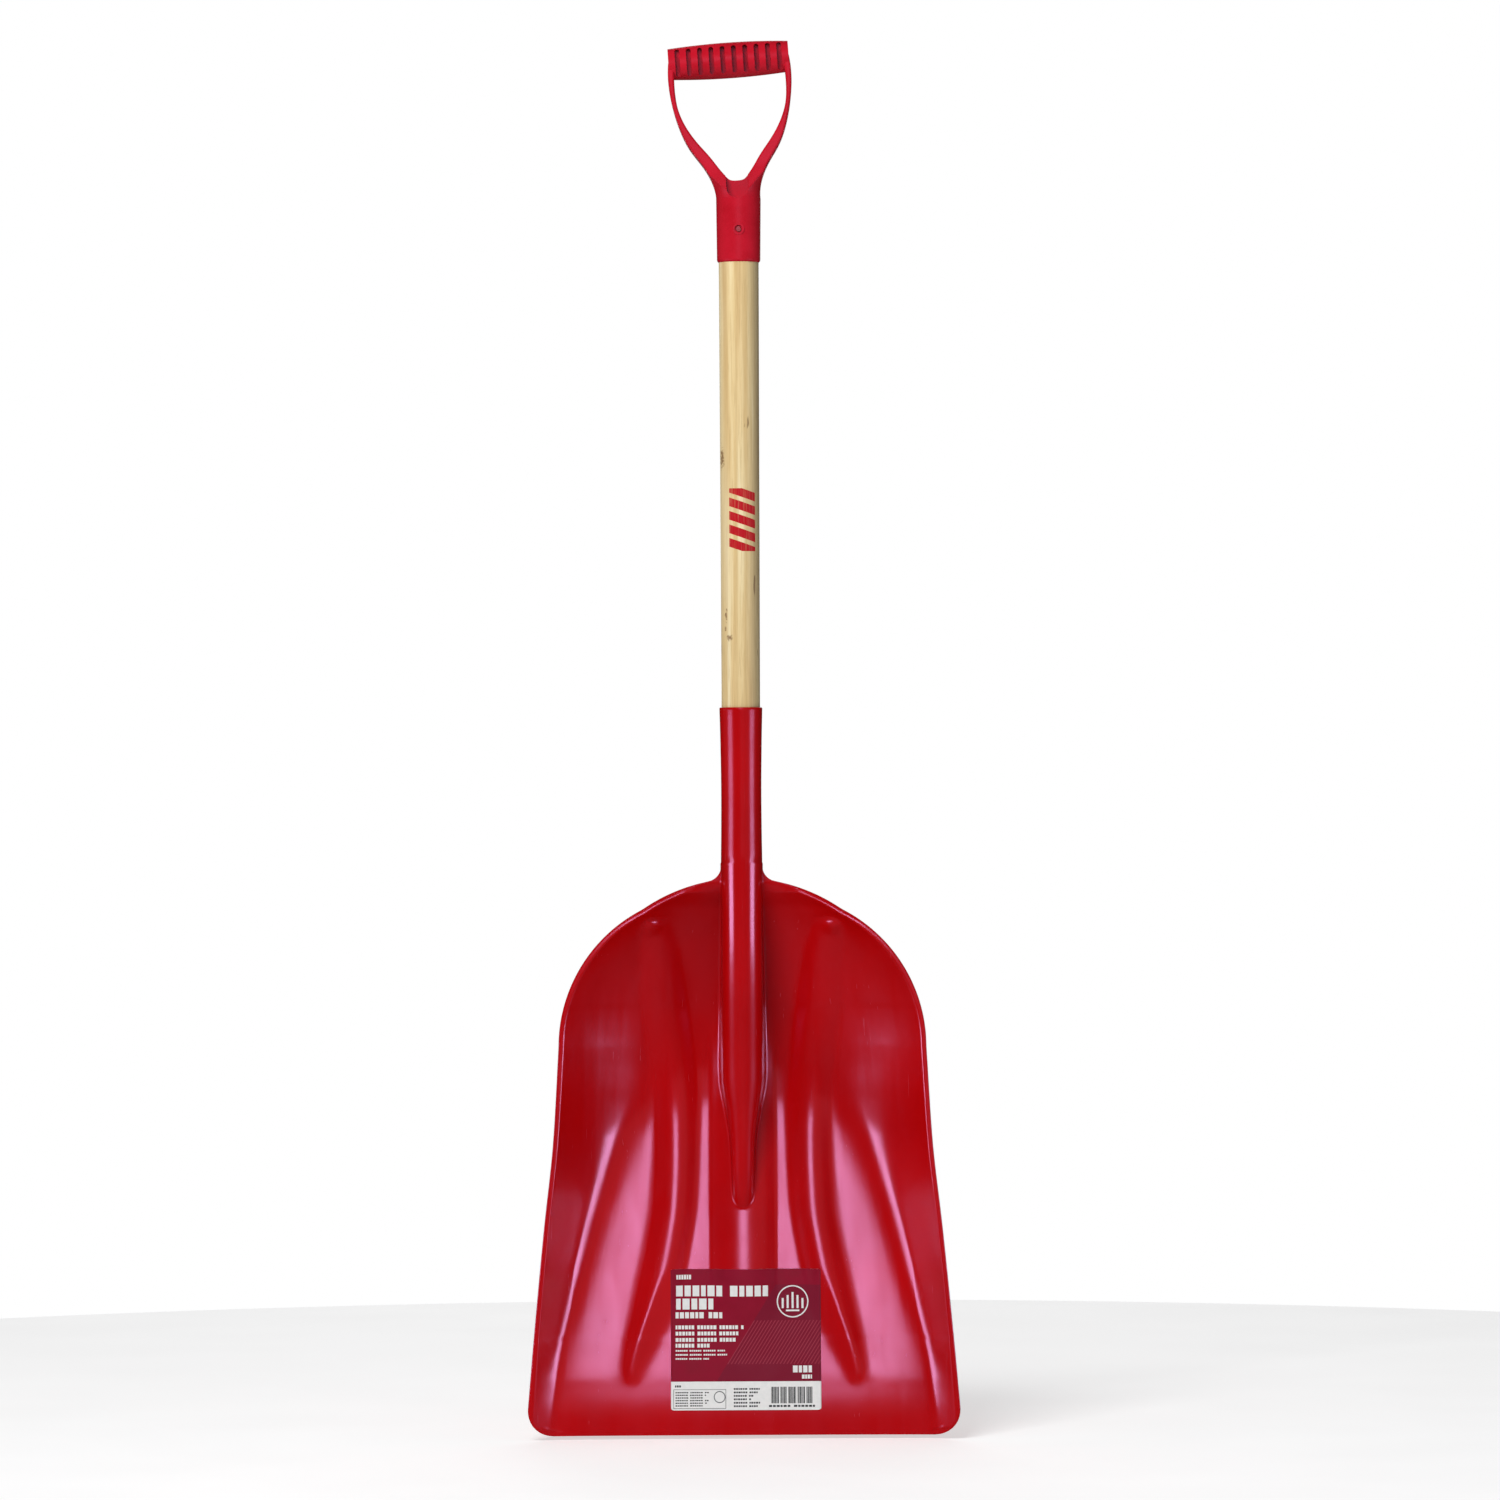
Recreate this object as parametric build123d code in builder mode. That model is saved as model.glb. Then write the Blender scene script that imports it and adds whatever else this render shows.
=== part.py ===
from build123d import *
from math import cos, hypot, radians, sin, sqrt
import os

os.makedirs("parts", exist_ok=True)

# Grain scoop shovel with a moulded pan, a wooden shaft and a moulded D-grip. Millimetres.
# Frame: the handle runs along Z, the pan opens towards -Y, and X runs across the pan.
# The origin is the hanging point, on the underside of the grip bar above the handle's axis.
# Heights named h are measured up from the pan's lip.

# ---- driving dimensions --------------------------------------------------------------------

hang_height = 1208.0        # lip to hanging point

# pan outline, half of it, seen from the front
side_widths = [(-10, 195.2), (0, 194.2), (90, 186.2), (181, 177.3), (262, 168.6), (344, 163.8)]
shoulder_x = 27.0           # centre of the shoulder arc
shoulder_h = 344.0
shoulder_radius = 136.8
crown_h = 336.6             # centre of the crown arc, on the middle of the pan
crown_radius = 157.0
arcs_meet_x = 89.0          # where the shoulder arc hands over to the crown arc
arcs_meet_h = 466.0
lip_corner_radius = 23.0
neck_half_width = 18.0
neck_top_h = 520.0
neck_fillet = 14.0

# pan depth, as (h, y) or (h, share of the half width)
floor_line = [(-10, -39.9), (0, -38.7), (20, -36.2), (45, -30.5), (75, -22), (110, -11.6),
              (262, 33.9), (300, 43), (330, 46), (365, 45), (400, 41), (435, 32.5), (465, 19),
              (489, 3), (493.6, 2.5)]
rim_line = [(-10, -57), (0, -56), (50, -51), (150, -40), (290, -25), (340, -20), (385, -17),
            (450, -10), (493.6, 2.5)]
wall_foot = [(0, 0.905), (69, 0.893), (129, 0.846), (200, 0.777), (262, 0.7), (290, 0.64),
             (330, 0.5), (385, 0.28), (450, 0.1), (493.6, 0.05)]
wall_rounding = [(0, 0.03), (129, 0.06), (200, 0.09), (262, 0.15), (300, 0.28), (330, 0.36),
                 (385, 0.42), (493.6, 0.5)]
floor_crown = 7.0           # how far the floor curves up across the whole width
pan_wall = 4.4              # measured front to back

# raised ribs each side of the middle, as (h, distance from the middle)
rib_outer_foot = [(44, 104), (55, 108), (77, 106), (110, 99), (138, 93), (171, 86),
                  (201, 81.5), (249, 79.5), (294, 80.5), (338, 84.5), (403, 91), (460, 91)]
rib_inner_foot = [(44, 96), (58, 84.5), (77, 73), (96, 64.5), (127, 56.5), (165, 48.5),
                  (205, 42.5), (249, 40.5), (294, 39.5), (338, 42), (387, 48.5), (430, 56),
                  (460, 68)]
rib_flank_slope = 0.44
rib_crest_blend = 24.0
rib_facet = [(41, 0.8), (129, 5.6), (200, 14)]     # height of the flat facet on its lower end
rib_facet_tilt = 0.22       # it leans towards the middle
rib_low_h = 41.0
rib_low_slope = 0.5
rib_top_h = 457.0
rib_top_slope = 0.9
low_ridge_height = [(85, 0), (145, 7.5), (330, 7.5), (380, 0)]
low_ridge_half_width = 29.0

# tall middle ridge below the socket: (h, half width, crest y, foot half width)
frog_stations = [(505, 17.9, -18.3, 18.1), (440, 17.7, -16.6, 19.5), (316, 17.7, -4.6, 22),
                 (282, 13.2, -2.0, 17.5), (256, 10.4, 0.0, 14), (216, 9.6, 3.0, 12),
                 (200, 8.4, 7.2, 10.5), (188, 6.0, 16.0, 8)]
frog_back_y = 60.0
frog_wall = 3.4

# socket outline, as (radius, h), and the shaft that fits it
socket_mouth_h = 646.0
socket_lip_radius = 19.2
socket_profile = [(18.45, 615), (17.95, 568), (18.15, 532), (18.45, 508), (17.6, 475)]
socket_end_radius = 15.0
socket_end_h = 430.0
fit_gap = 0.12              # radial clearance of the wood in its sockets
shaft_end_h = 455.0
shaft_end_radius = 14.2
shaft_mouth_radius = 17.15
shaft_top_radius = 17.85
shaft_tip_radius = 16.5
shaft_tip_h = 1096.0

# D-grip
ferrule_low_h = 1042.5
ferrule_top_h = 1100.1
ferrule_low_radius = 19.35
ferrule_top_radius = 19.9
grip_lean = 3.8             # the yoke stands out of line with the shaft by this many degrees
yoke_thickness = [(19.4, -3), (19.4, 2), (18.2, 10), (15.4, 22), (12.9, 38)]   # half, at a height
yoke_top_thickness = 12.5
yoke_funnel = [(19.8, -3), (20.0, 2), (21.6, 9), (26, 18), (34, 29), (52, 48)]
recess_depth = 8.5          # from the yoke's middle plane to the floor of its recess
yoke_outer = [(19.8, -3), (19.9, 4), (23.1, 17.8), (30.3, 31.7), (40, 46.3), (47.9, 65),
              (53, 86.3), (55, 105), (53.9, 124)]
yoke_inner = [(48, 124), (49.7, 99), (47.9, 82), (41.5, 65), (31.2, 49), (21.8, 36.8),
              (15, 26.6), (8, 17.9), (0, 15.6)]
bar_height = 123.65
bar_half_length = 53.7
bar_mid_radius = 16.0
bar_end_radius = 13.75
slot_count = 10
slot_pitch = 10.1
slot_width = 4.3
slot_length = 24.5
slot_web = 6.0              # left in the middle of the bar, between front and back slots

# fasteners and label
rivet_h = 1071.7
rivet_radius = 2.0
rivet_head_radius = 2.5
rivet_recess_radius = 3.5
rivet_boss_radius = 5.0
recess_floor_y = 18.2
screw_h = 612.0
screw_radius = 1.8
screw_head_radius = 3.8
screw_seat_y = 17.9
label_low_h = 22.0
label_high_h = 145.0
label_width = 133.5
label_centre_x = 1.8
label_gap = 0.15
label_thickness = 0.25


# ---- helpers -------------------------------------------------------------------------------

def level(h):
    """Height in the part's frame of a point h above the lip."""
    return h - hang_height


def smooth(stations, place):
    """Value at a place on a smooth monotone curve through (place, value) stations."""
    place = min(max(place, stations[0][0]), stations[-1][0])
    pairs = list(zip(stations, stations[1:]))
    steps = [(b[1] - a[1]) / (b[0] - a[0]) for a, b in pairs]
    inner = [2 * s * t / (s + t) if s * t > 0 else 0 for s, t in zip(steps, steps[1:])]
    slopes = [steps[0], *inner, steps[-1]]
    number = next(k for k, (a, b) in enumerate(pairs) if place <= b[0])
    (start, low), (end, high) = pairs[number]
    width = end - start
    t = (place - start) / width
    rise = low + (high - low) * t * t * (3 - 2 * t)
    return rise + width * t * (1 - t) * ((1 - t) * slopes[number] - t * slopes[number + 1])


def soft_min(a, b, blend):
    """The smaller of two values, rounded where they meet."""
    near = max(blend - abs(a - b), 0) / blend
    return min(a, b) - near * near * blend / 4


def half_width(h):
    """Half width of the pan's outline at a height."""
    if h < shoulder_h:
        return smooth(side_widths, h)
    if h < arcs_meet_h:
        return shoulder_x + sqrt(shoulder_radius ** 2 - (h - shoulder_h) ** 2)
    return sqrt(max(crown_radius ** 2 - (h - crown_h) ** 2, 1))


def front_y(x, h):
    """Depth of the pan's front surface, with its ribs."""
    floor_y = smooth(floor_line, h)
    rise = max(floor_y - smooth(rim_line, h), 0)
    share = soft_min((x / max(half_width(h), 50)) ** 2, 1.6, 0.3)
    foot = smooth(wall_foot, h) ** 2
    rounding = smooth(wall_rounding, h)
    base = hypot(foot, rounding) - foot
    wall = share - foot + hypot(share - foot, rounding) - base
    full = 1 - foot + hypot(1 - foot, rounding) - base
    crown = min(floor_crown, rise / 3)
    wall_rise = (rise - crown) * wall / full + crown * share ** 2
    outside = smooth(rib_outer_foot, h) - abs(x)
    inside = abs(x) - smooth(rib_inner_foot, h)
    rib = rib_flank_slope * soft_min(outside, inside, rib_crest_blend)
    facet = smooth(rib_facet, h) + rib_facet_tilt * (inside - outside) / 2
    rib = soft_min(rib, facet, 1.0)
    rib = min(rib, rib_low_slope * (h - rib_low_h))
    rib = max(soft_min(rib, rib_top_slope * (rib_top_h - h), 4), 0)
    ridge = smooth(low_ridge_height, h) * max(1 - (x / low_ridge_half_width) ** 2, 0)
    return floor_y - wall_rise - rib - ridge


def pan_surface():
    """A smooth face through the depths of the pan's front."""
    spacing = 6.0
    columns = [spacing * (k - 34) for k in range(69)]
    rows = [spacing * (k - 1) for k in range(90)]
    grid = [[Vector(x, front_y(x, h), level(h)) for x in columns] for h in rows]
    return Face.make_surface_from_array_of_points(grid, tol=0.3, min_deg=3)


behind = Vector(0, 1, 0)
pan_front = pan_surface()
pan_back = pan_front.moved(Location((0, pan_wall, 0)))

# ---- pan, middle ridge and socket ----------------------------------------------------------

with BuildPart() as scoop_blade:
    # outline of the pan, cut to the space between its front and back surfaces
    with BuildSketch(Plane.XZ.offset(100)):
        with BuildLine():
            side_points = [(smooth(side_widths, h), level(h)) for h in (0, 90, 181, 262, 344)]
            side = Spline(side_points, tangents=[(-0.09, 1), (0, 1)])
            shoulder = RadiusArc(side @ 1, (arcs_meet_x, level(arcs_meet_h)), -shoulder_radius)
            crown_end_h = crown_h + sqrt(crown_radius ** 2 - neck_half_width ** 2)
            crown_end = (neck_half_width, level(crown_end_h))
            crown = RadiusArc(shoulder @ 1, crown_end, -crown_radius)
            neck = Polyline(crown @ 1, (neck_half_width, level(neck_top_h)), (0, level(neck_top_h)))
            Polyline(neck @ 1, (0, level(0)), side @ 0)
        make_face()
        mirror(about=Plane.YZ)
        corners = vertices().group_by(Axis.Y)[0].sort_by(Axis.X)
        fillet([corners[0], corners[-1]], lip_corner_radius)
        waist = [v for v in vertices() if abs(v.Y - level(crown_end_h)) < 0.01]
        fillet(waist, neck_fillet)
    extrude(amount=-220)
    extrude(pan_front, amount=150, dir=behind, mode=Mode.INTERSECT)

    # the tall ridge stands in front of the pan
    for h, half, crest, foot in frog_stations:
        with BuildSketch(Plane.XY.offset(level(h))):
            with BuildLine():
                arc = ThreePointArc((-half, crest + half), (0, crest), (half, crest + half))
                Polyline(arc @ 1, (foot, frog_back_y), (-foot, frog_back_y), arc @ 0)
            make_face()
    loft(ruled=True)
    extrude(pan_back, amount=150, dir=behind, mode=Mode.SUBTRACT)

    # and is hollow behind, open at the back
    for h, half, crest, foot in frog_stations[:-1]:
        inner = half - frog_wall
        tip = crest + frog_wall
        with BuildSketch(Plane.XY.offset(level(h + frog_wall * (h < 300)))):
            with BuildLine():
                arc = ThreePointArc((-inner, tip + inner), (0, tip), (inner, tip + inner))
                back = foot - frog_wall
                Polyline(arc @ 1, (back, frog_back_y + 30), (-back, frog_back_y + 30), arc @ 0)
            make_face()
    loft(ruled=True, mode=Mode.SUBTRACT)

    # socket
    with BuildSketch(Plane.XZ):
        with BuildLine():
            mouth = Line((0, level(socket_mouth_h)), (socket_lip_radius - 1, level(socket_mouth_h)))
            lip = RadiusArc(mouth @ 1, (socket_lip_radius, level(socket_mouth_h - 1)), 1)
            rings = [(radius, level(h)) for radius, h in socket_profile]
            barrel = Spline([lip @ 1, *rings])
            end = (socket_end_radius, level(socket_end_h))
            Polyline(barrel @ 1, end, (0, level(socket_end_h)), mouth @ 0)
        make_face()
    revolve(axis=Axis.Z)
    with BuildSketch(Plane.XZ):
        with BuildLine():
            Polyline(
                (0, level(shaft_end_h - 6)),
                (shaft_end_radius + fit_gap, level(shaft_end_h - 1)),
                (shaft_mouth_radius + fit_gap, level(socket_mouth_h)),
                (shaft_mouth_radius + fit_gap, level(socket_mouth_h + 5)),
                (0, level(socket_mouth_h + 5)),
                close=True,
            )
        make_face()
    revolve(axis=Axis.Z, mode=Mode.SUBTRACT)

    # flat seat and hole for the screw behind the socket
    with BuildSketch(Plane.XZ.offset(-screw_seat_y)):
        with Locations((0, level(screw_h))):
            Circle(screw_head_radius + 0.5)
    extrude(amount=-10, mode=Mode.SUBTRACT)
    with BuildSketch(Plane.XZ):
        with Locations((0, level(screw_h))):
            Circle(screw_radius + 0.2)
    extrude(amount=-30, mode=Mode.SUBTRACT)

scoop_blade.part.label = "scoop_blade"
export_step(scoop_blade.part, "parts/scoop_blade.step")

# ---- wooden shaft --------------------------------------------------------------------------

with BuildPart() as handle_shaft:
    with BuildSketch(Plane.XZ):
        with BuildLine():
            Polyline(
                (0, level(shaft_end_h)),
                (shaft_end_radius, level(shaft_end_h)),
                (shaft_mouth_radius, level(socket_mouth_h)),
                (shaft_top_radius, level(ferrule_low_h)),
                (shaft_tip_radius, level(shaft_tip_h)),
                (0, level(shaft_tip_h)),
                close=True,
            )
        make_face()
    revolve(axis=Axis.Z)
    ends = handle_shaft.faces().filter_by(GeomType.PLANE)
    chamfer(ends.edges(), 1.2)
    with BuildSketch(Plane.XZ):
        with Locations((0, level(rivet_h))):
            Circle(rivet_radius + 0.1)
    extrude(amount=30, both=True, mode=Mode.SUBTRACT)
    with BuildSketch(Plane.XZ):
        with Locations((0, level(screw_h))):
            Circle(screw_radius + 0.05)
    extrude(amount=-30, mode=Mode.SUBTRACT)

handle_shaft.part.label = "handle_shaft"
export_step(handle_shaft.part, "parts/handle_shaft.step")

# ---- D-grip --------------------------------------------------------------------------------

lean = radians(grip_lean)
yoke_foot = (0, 0, level(ferrule_top_h))
yoke_plane = Plane(yoke_foot, x_dir=(cos(lean), 0, sin(lean)), z_dir=(0, -1, 0))
yoke_side = Plane(yoke_foot, x_dir=(0, 1, 0), z_dir=(cos(lean), 0, sin(lean)))

with BuildPart() as d_grip:
    # yoke arms
    with BuildSketch(yoke_plane):
        with BuildLine():
            outer = Spline(yoke_outer)
            top = Line(outer @ 1, yoke_inner[0])
            crotch = Spline(yoke_inner, tangents=[(0.2, -1), (-1, 0)])
            Polyline(crotch @ 1, (0, -3), outer @ 0)
        make_face()
        mirror(about=Plane.YZ)
    extrude(amount=25, both=True)

    # as thick as the ferrule at their foot, thinner towards the bar, and round at the foot
    with BuildSketch(yoke_side):
        with BuildLine():
            flare = Spline(yoke_thickness, tangents=[(0, 1), (-0.05, 1)])
            top = (yoke_top_thickness, yoke_inner[0][1] + 5)
            Polyline(flare @ 1, (yoke_top_thickness, 50), top, (0, top[1]), (0, -3), flare @ 0)
        make_face()
        mirror(about=Plane.YZ)
    extrude(amount=70, both=True, mode=Mode.INTERSECT)
    with BuildSketch(yoke_plane):
        with BuildLine():
            funnel = Spline(yoke_funnel)
            Polyline(funnel @ 1, (80, 60), (80, 140), (0, 140), (0, -3), funnel @ 0)
        make_face()
    revolve(axis=Axis(yoke_plane.origin, yoke_plane.y_dir), mode=Mode.INTERSECT)
    fronts = [face for face in d_grip.faces() if abs(face.normal_at().Y) > 0.85]
    fillet(ShapeList([edge for face in fronts for edge in face.edges() if abs(edge.center().Y) > 11]), 1.8)

    # bar, thicker in the middle, with slots let in from the front and the back
    with BuildSketch(yoke_plane):
        with BuildLine():
            low = (-bar_half_length, bar_height + bar_end_radius)
            high = (bar_half_length, bar_height + bar_end_radius)
            crest = Spline(low, (0, bar_height + bar_mid_radius), high)
            Polyline(crest @ 1, (bar_half_length, bar_height), (-bar_half_length, bar_height), low)
        make_face()
    bar_line = Axis(yoke_plane.from_local_coords((0, bar_height, 0)), yoke_plane.x_dir)
    revolve(axis=bar_line)
    for side_sign in (1, -1):
        with BuildSketch(yoke_plane.offset(side_sign * slot_web / 2)):
            with Locations((0, bar_height)):
                with GridLocations(slot_pitch, 0, slot_count, 1):
                    SlotOverall(slot_length, slot_width, rotation=90)
        extrude(amount=side_sign * 20, mode=Mode.SUBTRACT)

    # ferrule, rounded into the foot of the yoke
    with BuildSketch(Plane.XZ):
        with BuildLine():
            Polyline(
                (0, level(ferrule_low_h)),
                (ferrule_low_radius, level(ferrule_low_h)),
                (ferrule_top_radius, level(ferrule_top_h)),
                (ferrule_top_radius - 1, level(ferrule_top_h + 1)),
                (0, level(ferrule_top_h + 3)),
                close=True,
            )
        make_face()
        low_edge = vertices().sort_by(Axis.Y).group_by(Axis.Y)[0].sort_by(Axis.X)[-1]
        fillet(low_edge, 3)
    revolve(axis=Axis.Z)

    # a shallow recess with a round bottom, between the arms, front and back
    for side_sign in (1, -1):
        with BuildSketch(yoke_plane.offset(side_sign * recess_depth)):
            with Locations((0, 17)):
                SlotOverall(36, 20, rotation=90)
        extrude(amount=side_sign * 12, mode=Mode.SUBTRACT)

    # bore for the shaft
    with BuildSketch(Plane.XZ):
        with BuildLine():
            Polyline(
                (0, level(ferrule_low_h - 5)),
                (shaft_top_radius + fit_gap, level(ferrule_low_h - 5)),
                (shaft_top_radius + fit_gap, level(ferrule_low_h)),
                (shaft_tip_radius + fit_gap, level(shaft_tip_h)),
                (shaft_tip_radius + fit_gap, level(shaft_tip_h + 0.5)),
                (0, level(shaft_tip_h + 0.5)),
                close=True,
            )
        make_face()
    revolve(axis=Axis.Z, mode=Mode.SUBTRACT)

    # raised ring, recess and hole for the rivet, front and back
    for side_sign in (1, -1):
        with BuildSketch(Plane.XZ.offset(side_sign * recess_floor_y)):
            with Locations((0, level(rivet_h))):
                Circle(rivet_boss_radius)
                Circle(rivet_recess_radius, mode=Mode.SUBTRACT)
        extrude(amount=side_sign * 1.8)
        with BuildSketch(Plane.XZ.offset(side_sign * recess_floor_y)):
            with Locations((0, level(rivet_h))):
                Circle(rivet_recess_radius)
        extrude(amount=side_sign * 5, mode=Mode.SUBTRACT)
    with BuildSketch(Plane.XZ):
        with Locations((0, level(rivet_h))):
            Circle(rivet_radius + 0.1)
    extrude(amount=30, both=True, mode=Mode.SUBTRACT)

d_grip.part.label = "d_grip"
export_step(d_grip.part, "parts/d_grip.step")

# ---- rivet through the ferrule -------------------------------------------------------------

with BuildPart() as grip_rivet:
    with BuildSketch(Plane.XZ.offset(-recess_floor_y)):
        with Locations((0, level(rivet_h))):
            Circle(rivet_radius)
    extrude(amount=2 * recess_floor_y)
    for side_sign in (1, -1):
        with BuildSketch(Plane.XZ.offset(side_sign * recess_floor_y)):
            with Locations((0, level(rivet_h))):
                Circle(rivet_head_radius)
        extrude(amount=side_sign * 1.0)
    heads = grip_rivet.edges().filter_by(GeomType.CIRCLE)
    outer_rims = [heads.group_by(Axis.Y)[0], heads.group_by(Axis.Y)[-1]]
    fillet([rim[0] for rim in outer_rims], 0.5)

grip_rivet.part.label = "grip_rivet"
export_step(grip_rivet.part, "parts/grip_rivet.step")

# ---- screw behind the socket ---------------------------------------------------------------

with BuildPart() as socket_screw:
    with BuildSketch(Plane.XZ.offset(-screw_seat_y)):
        with Locations((0, level(screw_h))):
            Circle(screw_radius)
    extrude(amount=14, taper=3)
    with BuildSketch(Plane.XZ.offset(-screw_seat_y)):
        with Locations((0, level(screw_h))):
            Circle(screw_head_radius)
    extrude(amount=-2.4)
    fillet(socket_screw.edges().filter_by(GeomType.CIRCLE).group_by(Axis.Y)[-1], 1.2)
    with BuildSketch(Plane.XZ.offset(-screw_seat_y - 2.4)):
        with Locations((0, level(screw_h))):
            Rectangle(4.2, 0.8)
            Rectangle(0.8, 4.2)
    extrude(amount=1.3, mode=Mode.SUBTRACT)

socket_screw.part.label = "socket_screw"
export_step(socket_screw.part, "parts/socket_screw.step")

# ---- label on the pan's floor --------------------------------------------------------------

with BuildPart() as pan_label:
    with BuildSketch(Plane.XZ.offset(100)):
        with Locations((label_centre_x, level((label_low_h + label_high_h) / 2))):
            RectangleRounded(label_width, label_high_h - label_low_h, 4)
    extrude(amount=-200)
    label_face = pan_front.moved(Location((0, -label_gap - label_thickness, 0)))
    extrude(label_face, amount=label_thickness, dir=behind, mode=Mode.INTERSECT)

pan_label.part.label = "pan_label"
export_step(pan_label.part, "parts/pan_label.step")
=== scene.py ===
from math import asin, cos, hypot, pi, radians, sin, sqrt, tan

import bmesh
import bpy
import numpy as np
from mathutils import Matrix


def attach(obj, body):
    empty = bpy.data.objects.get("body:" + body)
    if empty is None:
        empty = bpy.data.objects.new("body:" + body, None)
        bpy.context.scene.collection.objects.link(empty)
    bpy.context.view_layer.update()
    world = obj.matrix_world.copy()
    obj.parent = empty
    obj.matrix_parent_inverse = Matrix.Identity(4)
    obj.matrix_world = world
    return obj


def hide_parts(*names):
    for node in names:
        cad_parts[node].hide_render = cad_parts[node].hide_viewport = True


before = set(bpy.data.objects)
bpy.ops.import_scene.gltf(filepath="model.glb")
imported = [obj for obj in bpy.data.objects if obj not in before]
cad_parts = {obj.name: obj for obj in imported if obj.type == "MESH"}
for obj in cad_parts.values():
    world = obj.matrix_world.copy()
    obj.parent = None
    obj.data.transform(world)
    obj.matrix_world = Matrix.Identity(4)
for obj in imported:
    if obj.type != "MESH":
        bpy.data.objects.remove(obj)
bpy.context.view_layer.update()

# Grain scoop shovel, the visual model. Blender objects are in metres, in the CAD's frame.
# The shapes below are worked out in millimetres: x across the pan, h up from its lip and
# y towards the back, and `to_metres` places them. The origin is the hanging point.

MM = 0.001
hang_height = 1208.0

# pan outline, half of it, seen from the front
side_widths = [(-10, 194.8), (0, 193.8), (90, 186.0), (181, 177.3), (262, 168.6), (344, 163.8)]
shoulder_x = 27.0
shoulder_h = 344.0
shoulder_radius = 136.8
crown_h = 336.6
crown_radius = 157.0
lip_corner_radius = 25.5
neck_radius = 18.45
neck_fillet = 14.0

# pan depth, as stations of (h, y) or (h, share of the half width)
floor_line = [(-10, -39.9), (0, -38.7), (20, -36.2), (45, -30.5), (75, -22), (110, -11.6),
              (262, 33.9), (300, 43), (330, 46), (365, 45), (400, 41), (435, 32.5), (465, 19),
              (489, 3), (493.6, 2.5)]
rim_line = [(-10, -55.7), (0, -54.7), (50, -50.4), (150, -40), (290, -25), (340, -20), (385, -17),
            (450, -10), (493.6, 2.5)]
wall_foot = [(0, 0.905), (69, 0.893), (129, 0.846), (200, 0.777), (262, 0.7), (290, 0.64),
             (330, 0.5), (385, 0.28), (450, 0.1), (493.6, 0.05)]
wall_rounding = [(0, 0.03), (129, 0.06), (200, 0.09), (262, 0.15), (300, 0.28), (330, 0.36),
                 (385, 0.42), (493.6, 0.5)]
floor_crown = 7.0           # how far the floor curves up across the whole width
pan_wall = 4.4
flange_width = 4.2
edge_rounding = 0.8

# raised ribs each side of the middle, as (h, distance from the middle)
rib_outer_foot = [(44, 104), (55, 108), (77, 106), (110, 99), (138, 93), (171, 86),
                  (201, 81.5), (249, 79.5), (294, 80.5), (338, 84.5), (403, 91), (460, 91)]
rib_inner_foot = [(44, 96), (58, 84.5), (77, 73), (96, 64.5), (127, 56.5), (165, 48.5),
                  (205, 42.5), (249, 40.5), (294, 39.5), (338, 42), (387, 48.5), (430, 56),
                  (460, 68)]
rib_flank_slope = 0.44
rib_crest_blend = 24.0
rib_facet = [(41, 0.8), (129, 5.6), (200, 14)]     # height of the flat facet on its lower end
rib_facet_tilt = 0.22       # it leans towards the middle
rib_low_h = 41.0
rib_low_slope = 0.5
rib_top_h = 457.0
rib_top_slope = 0.9
rib_bump_x = 80.0
rib_bump_h = 450.0
rib_bump_radius = 9.0
rib_bump_height = 2.2
low_ridge_height = [(85, 0), (145, 7.5), (330, 7.5), (380, 0)]
low_ridge_half_width = 29.0

# tall middle ridge below the socket, as (h, value)
ridge_foot_h = 188.0
ridge_half = [(188, 6), (200, 8.4), (216, 9.6), (256, 10.4), (282, 13.2), (316, 17.7), (440, 17.7),
              (508, 18.45)]
ridge_crest = [(188, 16), (200, 7.2), (216, 3), (256, 0), (282, -2), (316, -4.6), (440, -16.6),
               (508, -18.45)]
ridge_spread = [(188, 8), (200, 10.5), (216, 12), (256, 14), (282, 17.5), (316, 22), (440, 19.5),
                (508, 18.5)]
ridge_wall = 3.4
ridge_back_y = 60.0
hollow_foot_h = 204.0
neck_top_h = 508.0

# socket, as (h, radius)
socket_radius = [(430, 15.0), (475, 17.6), (508, 18.45), (532, 18.15), (568, 17.95), (615, 18.45),
                 (645, 19.15)]
socket_end_h = 430.0
socket_mouth_h = 646.0
bore_mouth_radius = 17.27
bore_end_radius = 14.3
bore_end_h = 455.0
screw_seat_y = 17.9
screw_h = 612.0
screw_seat_radius = 4.3


# ---- shape helpers -------------------------------------------------------------------------

def smooth(stations, place):
    """Value at a place on a smooth monotone curve through (place, value) stations."""
    place = min(max(place, stations[0][0]), stations[-1][0])
    pairs = list(zip(stations, stations[1:]))
    steps = [(b[1] - a[1]) / (b[0] - a[0]) for a, b in pairs]
    inner = [2 * s * t / (s + t) if s * t > 0 else 0 for s, t in zip(steps, steps[1:])]
    slopes = [steps[0], *inner, steps[-1]]
    number = next(k for k, (a, b) in enumerate(pairs) if place <= b[0])
    (start, low), (end, high) = pairs[number]
    width = end - start
    t = (place - start) / width
    rise = low + (high - low) * t * t * (3 - 2 * t)
    return rise + width * t * (1 - t) * ((1 - t) * slopes[number] - t * slopes[number + 1])


def soft_min(a, b, blend):
    """The smaller of two values, rounded where they meet."""
    near = np.maximum(blend - np.abs(a - b), 0) / blend
    return np.minimum(a, b) - near * near * blend / 4


def soft_max(a, b, blend):
    """The larger of two values, rounded where they meet."""
    return -soft_min(-a, -b, blend)


def ease(t):
    """0 to 1, smoothly, as t goes from 0 to 1."""
    t = np.clip(t, 0, 1)
    return t * t * (3 - 2 * t)


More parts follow.
